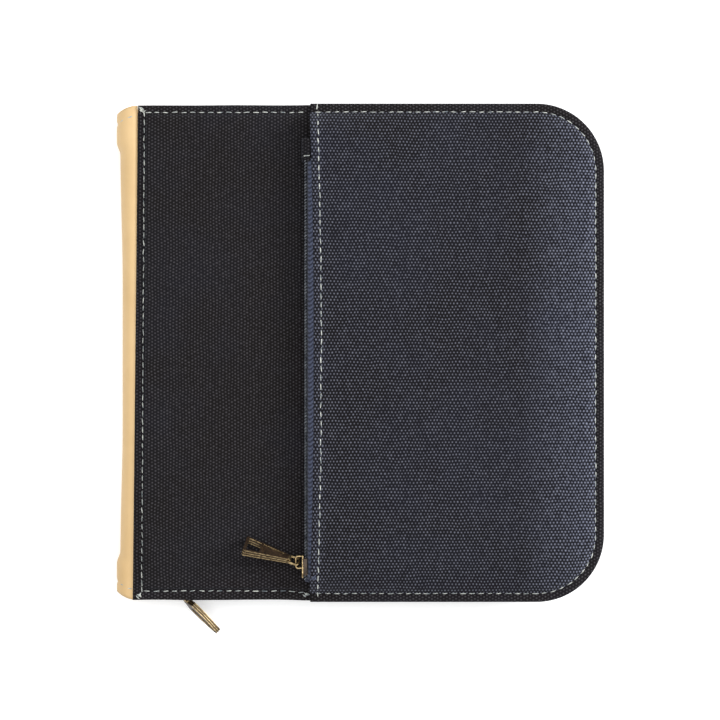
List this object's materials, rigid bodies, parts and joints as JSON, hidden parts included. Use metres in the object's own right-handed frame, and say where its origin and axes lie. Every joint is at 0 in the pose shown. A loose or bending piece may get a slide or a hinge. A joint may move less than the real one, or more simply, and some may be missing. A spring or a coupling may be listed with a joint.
{
  "type": "travel document organizer",
  "caption": "Zip-around canvas document organizer with a leather spine, a zipped outer pocket, sleeves and card pockets inside, and metal zip pulls.",
  "frame": {"origin": "middle of the back cover's outer face, on which the closed case lies", "axes": "+Z out through the front cover, +Y along the spine towards the pocket zip's upper end, -X towards the spine"},
  "size_m": [0.2041, 0.2251, 0.0293],
  "materials": {
    "base_canvas": "navy-black plain-weave canvas, coarse, matt",
    "pocket_canvas": "the same canvas turned a quarter, navy-black with a blue cast, coarse, matt",
    "leather": "smooth light tan leather, satin",
    "inner_leather": "thin light tan leather, satin",
    "inner_cloth": "navy cotton, fine weave, matt",
    "lining": "navy polyester lining, fine weave, slight sheen",
    "board": "grey-brown stiffening board, matt",
    "thread": "off-white twisted sewing thread",
    "zip_tape": "navy woven zip tape, diagonal rib",
    "zip_coil": "dark navy nylon coil, slight gloss",
    "brass": "antique brass, darkened in its hollows and rubbed bright on its edges"
  },
  "bodies": {
    "back_cover": {"back_canvas": "base_canvas", "back_board": "board", "back_lining": "lining", "back_rim_thread": "thread", "back_spine_margin": "leather", "back_spine_thread": "thread", "back_zip_tape": "zip_tape", "back_zip_coil": "zip_coil", "zip_end_lower": "zip_tape", "zip_end_upper": "zip_tape", "ticket_sleeve": "inner_cloth", "passport_pocket": "inner_leather", "pen_sleeve": "inner_cloth"},
    "spine": {"spine_leather": "leather", "spine_lining": "lining"},
    "front_cover": {"front_canvas": "base_canvas", "front_board": "board", "front_lining": "lining", "front_rim_thread": "thread", "front_spine_margin": "leather", "front_spine_thread": "thread", "front_zip_tape": "zip_tape", "front_zip_coil": "zip_coil", "document_sleeve": "inner_cloth", "card_pocket_1": "inner_leather", "card_pocket_2": "inner_leather", "card_pocket_3": "inner_leather", "card_pocket_4": "inner_leather", "pocket_panel": "pocket_canvas", "pocket_edge_thread": "thread", "pocket_tape_upper": "zip_tape", "pocket_tape_lower": "zip_tape", "pocket_coil_upper": "zip_coil", "pocket_coil_lower": "zip_coil", "pocket_zip_tab": "base_canvas", "pocket_zip_stop": "zip_tape"},
    "main_slider": {"main_slider_body": "brass", "main_slider_cap": "brass"},
    "main_pull": {"main_pull_ring": "brass", "main_pull": "brass"},
    "pocket_slider": {"pocket_slider_body": "brass", "pocket_slider_cap": "brass"},
    "pocket_pull": {"pocket_pull_ring": "brass", "pocket_pull": "brass"}
  },
  "joints": [
    {"name": "spine_hinge", "type": "hinge", "parent": "back_cover", "child": "spine", "pos_m": [-0.09865, 0, 0.0027], "axis": [0, -1, 0], "range_deg": [0, 90]},
    {"name": "cover_hinge", "type": "hinge", "parent": "spine", "child": "front_cover", "pos_m": [-0.09865, 0, 0.0163], "axis": [0, -1, 0], "range_deg": [0, 90]},
    {"name": "main_zip_slide", "type": "slide", "parent": "back_cover", "child": "main_slider", "axis": [1, 0, 0], "range_m": [0, 0.149]},
    {"name": "main_pull_swing", "type": "hinge", "parent": "main_slider", "child": "main_pull", "pos_m": [-0.0818, -0.10235, 0.0095], "axis": [0, 0, 1], "range_deg": [-123, 33]},
    {"name": "pocket_zip_slide", "type": "slide", "parent": "front_cover", "child": "pocket_slider", "axis": [0, 1, 0], "range_m": [0, 0.1647]},
    {"name": "pocket_pull_swing", "type": "hinge", "parent": "pocket_slider", "child": "pocket_pull", "pos_m": [-0.03005, -0.088, 0.0243], "axis": [0, 0, -1], "range_deg": [-77, 43]}
  ],
  "couplings": [
    {"joint": "spine_hinge", "follows": "cover_hinge", "ratio": 1}
  ]
}
